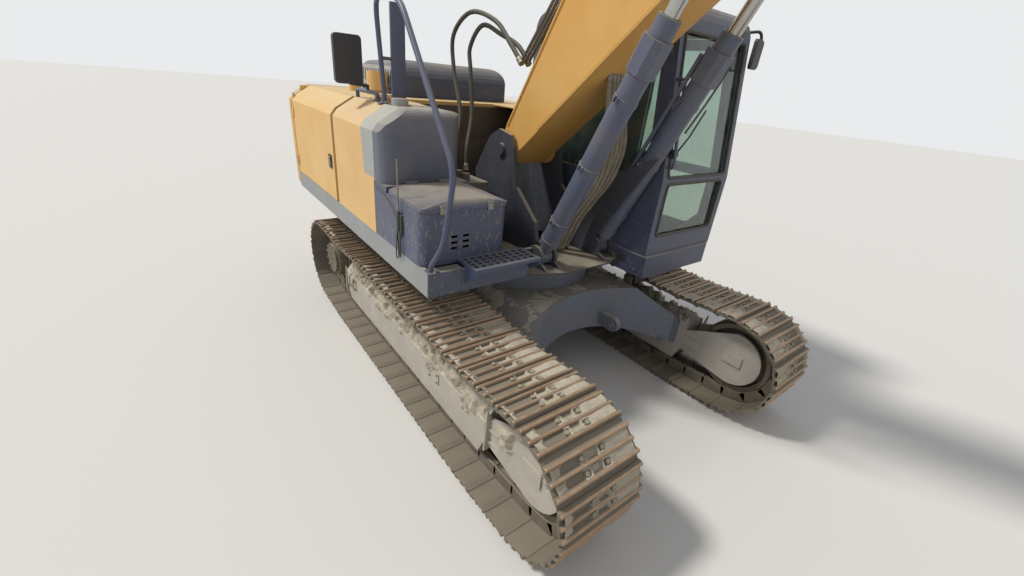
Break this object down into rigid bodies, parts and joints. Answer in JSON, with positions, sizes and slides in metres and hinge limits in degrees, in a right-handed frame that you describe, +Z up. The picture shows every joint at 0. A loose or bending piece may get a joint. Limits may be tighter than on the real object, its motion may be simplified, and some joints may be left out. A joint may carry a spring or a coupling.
{
  "type": "crawler excavator",
  "caption": "Tracked hydraulic excavator with a cab, a swinging upper deck, a boom, an arm and a toothed bucket.",
  "frame": {"origin": "the swing axis where it meets the ground under the tracks", "axes": "+X forward along the tracks, towards the bucket; +Y to the driver's left; +Z up along the swing axis"},
  "size_m": [8.8641, 2.81, 4.7358],
  "materials": {
    "yellow_paint": "faded yellow paint, dusty",
    "blue_paint": "dark blue-grey paint, dusty",
    "grey_paint": "light grey paint, scuffed",
    "track_steel": "worn steel caked with dried mud",
    "cast_counterweight": "cast and painted yellow",
    "bare_steel": "worn bright steel",
    "rod_chrome": "polished hard chrome",
    "dark_steel": "black paint",
    "engine_iron": "painted casting",
    "cooler_alloy": "dull finned alloy",
    "cab_trim": "moulded black plastic",
    "seat_fabric": "woven seat cover",
    "window_glass": "lightly tinted, dusty"
  },
  "bodies": {
    "undercarriage": {"x_frame": "blue_paint", "track_frame_right": "blue_paint", "track_frame_left": "blue_paint", "track_right": "track_steel", "track_left": "track_steel", "sprockets": "track_steel", "idlers": "track_steel", "rollers_right": "track_steel", "rollers_left": "track_steel", "slew_ring": "bare_steel"},
    "house": {"main_frame": "blue_paint", "deck_skirt": "grey_paint", "counterweight": "cast_counterweight", "engine_block": "engine_iron", "radiator": "cooler_alloy", "house_panels": "yellow_paint", "hydraulic_tank": "yellow_paint", "fuel_tank": "blue_paint", "toolbox": "blue_paint", "control_valve": "engine_iron", "deck_step": "dark_steel", "handrails": "blue_paint", "mirror": "cab_trim", "air_cleaner": "yellow_paint", "cab_shell": "blue_paint", "cab_glass": "window_glass", "seat_base": "cab_trim", "seat_cushions": "seat_fabric", "cab_controls": "cab_trim"},
    "cab_door": {"cab_door": "blue_paint", "cab_door_glass": "window_glass"},
    "engine_hood": {"engine_hood": "blue_paint"},
    "pump_door": {"pump_door": "yellow_paint"},
    "battery_door": {"battery_door": "yellow_paint"},
    "radiator_door": {"radiator_door": "yellow_paint"},
    "toolbox_lid": {"toolbox_lid": "blue_paint"},
    "boom": {"boom": "yellow_paint", "boom_pipes": "yellow_paint"},
    "boom_barrels": {"boom_barrels": "blue_paint"},
    "boom_rods": {"boom_rods": "rod_chrome"},
    "arm": {"arm": "yellow_paint"},
    "arm_barrel": {"arm_barrel": "blue_paint"},
    "arm_rod": {"arm_rod": "rod_chrome"},
    "bucket_barrel": {"bucket_barrel": "blue_paint"},
    "bucket_rod": {"bucket_rod": "rod_chrome"},
    "rocker_bars": {"rocker_bars": "yellow_paint"},
    "bucket_link": {"bucket_link": "yellow_paint"},
    "bucket": {"bucket": "blue_paint"}
  },
  "joints": [
    {"name": "swing", "type": "hinge", "parent": "undercarriage", "child": "house", "pos_m": [0, 0, 1.1], "axis": [0, 0, 1], "continuous": true},
    {"name": "boom", "type": "hinge", "parent": "house", "child": "boom", "pos_m": [-0.09, 0, 1.91], "axis": [0, -1, 0], "range_deg": [-49, 31]},
    {"name": "arm", "type": "hinge", "parent": "boom", "child": "arm", "pos_m": [5.24745, 0, 3.85267], "axis": [0, 1, 0], "range_deg": [-85, 32]},
    {"name": "bucket", "type": "hinge", "parent": "arm", "child": "bucket", "pos_m": [5.24745, 0, 0.94267], "axis": [0, 1, 0], "range_deg": [-84, 82]},
    {"name": "cab_door", "type": "hinge", "parent": "house", "child": "cab_door", "pos_m": [0, 1.368, 1.6], "axis": [0, 0, 1], "range_deg": [0, 95]},
    {"name": "engine_hood", "type": "hinge", "parent": "house", "child": "engine_hood", "pos_m": [-2.34, 0, 2.208], "axis": [0, -1, 0], "range_deg": [0, 60]},
    {"name": "pump_door", "type": "hinge", "parent": "house", "child": "pump_door", "pos_m": [-2.441, -1.374, 1.6], "axis": [0, 0, -1], "range_deg": [0, 110]},
    {"name": "battery_door", "type": "hinge", "parent": "house", "child": "battery_door", "pos_m": [-1.313, 1.374, 1.6], "axis": [0, 0, 1], "range_deg": [0, 90]},
    {"name": "radiator_door", "type": "hinge", "parent": "house", "child": "radiator_door", "pos_m": [-2.441, 1.374, 1.6], "axis": [0, 0, 1], "range_deg": [0, 110]},
    {"name": "toolbox_lid", "type": "hinge", "parent": "house", "child": "toolbox_lid", "pos_m": [0.091, -1.035, 1.719], "axis": [0, -1, 0], "range_deg": [0, 80]},
    {"name": "boom_barrels_pivot", "type": "hinge", "parent": "house", "child": "boom_barrels", "pos_m": [0.625, 0, 1.215], "axis": [0, -1, 0], "range_deg": [-46.54, 29.81]},
    {"name": "boom_rods_slide", "type": "slide", "parent": "boom_barrels", "child": "boom_rods", "axis": [0.4178, 0, 0.9085], "range_m": [-0.8062, 0.5137]},
    {"name": "arm_barrel_pivot", "type": "hinge", "parent": "boom", "child": "arm_barrel", "pos_m": [2.28697, 0, 4.29692], "axis": [0, -1, 0], "range_deg": [-1.28, 1.74]},
    {"name": "arm_rod_slide", "type": "slide", "parent": "arm_barrel", "child": "arm_rod", "axis": [0.9946, 0, 0.1037], "range_m": [-1.0737, 0.4105]},
    {"name": "bucket_barrel_pivot", "type": "hinge", "parent": "arm", "child": "bucket_barrel", "pos_m": [5.72745, 0, 3.77267], "axis": [0, -1, 0], "range_deg": [-1.83, 1.81]},
    {"name": "bucket_rod_slide", "type": "slide", "parent": "bucket_barrel", "child": "bucket_rod", "axis": [0.0671, 0, -0.9977], "range_m": [-0.5305, 0.5181]},
    {"name": "rocker_bars_pivot", "type": "hinge", "parent": "arm", "child": "rocker_bars", "pos_m": [5.26745, 0, 1.37267], "axis": [0, -1, 0], "range_deg": [-58.32, 59.72]},
    {"name": "bucket_link_pivot", "type": "hinge", "parent": "bucket", "child": "bucket_link", "pos_m": [5.66806, 0, 0.85327], "axis": [0, -1, 0], "range_deg": [-69.63, 67.99]}
  ],
  "couplings": [
    {"joint": "boom_barrels_pivot", "follows": "boom", "ratio": 0.92937},
    {"joint": "boom_rods_slide", "follows": "boom", "m_per_rad": 0.93105},
    {"joint": "arm_barrel_pivot", "follows": "arm", "ratio": -0.00875},
    {"joint": "arm_rod_slide", "follows": "arm", "m_per_rad": 0.71702},
    {"joint": "bucket_barrel_pivot", "follows": "bucket", "ratio": 0.00984},
    {"joint": "bucket_rod_slide", "follows": "bucket", "m_per_rad": 0.35501},
    {"joint": "rocker_bars_pivot", "follows": "bucket", "ratio": -0.699},
    {"joint": "bucket_link_pivot", "follows": "bucket", "ratio": 0.817}
  ]
}
